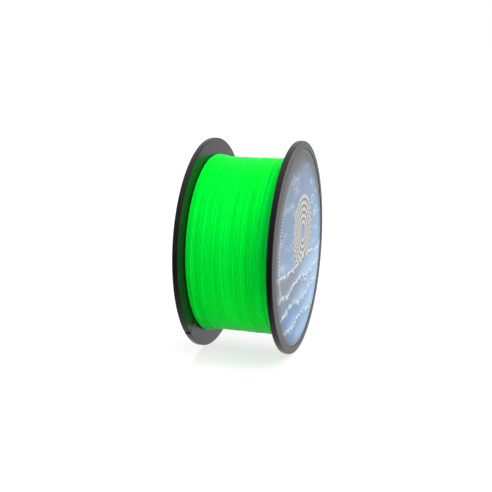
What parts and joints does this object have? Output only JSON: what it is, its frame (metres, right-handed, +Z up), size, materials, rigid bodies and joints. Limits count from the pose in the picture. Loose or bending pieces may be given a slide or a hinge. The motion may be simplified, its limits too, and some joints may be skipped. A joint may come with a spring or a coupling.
{
  "type": "fishing line spool",
  "caption": "Round spool with black flanges clipped into a ribbed drum, wound full of green monofilament line, with a disc label and a spindle bore for paying the line out",
  "frame": {"origin": "centre of the spool: on its axis, half way between the outer faces of the flanges", "axes": "+Y along the spool's axis, away from the label; +Z up as the spool stands on its rims; +X to the right as seen from the label's side"},
  "size_m": [0.1, 0.045, 0.1],
  "materials": {
    "black_moulding": "glossy black moulding",
    "drum_moulding": "satin black moulding",
    "printed_label": "gloss-coated print in blue and silver",
    "wound_line": "bright green nylon monofilament"
  },
  "bodies": {
    "root": {"front_flange": "black_moulding", "rear_flange": "black_moulding", "drum": "drum_moulding", "front_label": "printed_label", "line_core": "wound_line", "line_outer_layer": "wound_line", "line_start_knot": "wound_line"}
  },
  "joints": []
}
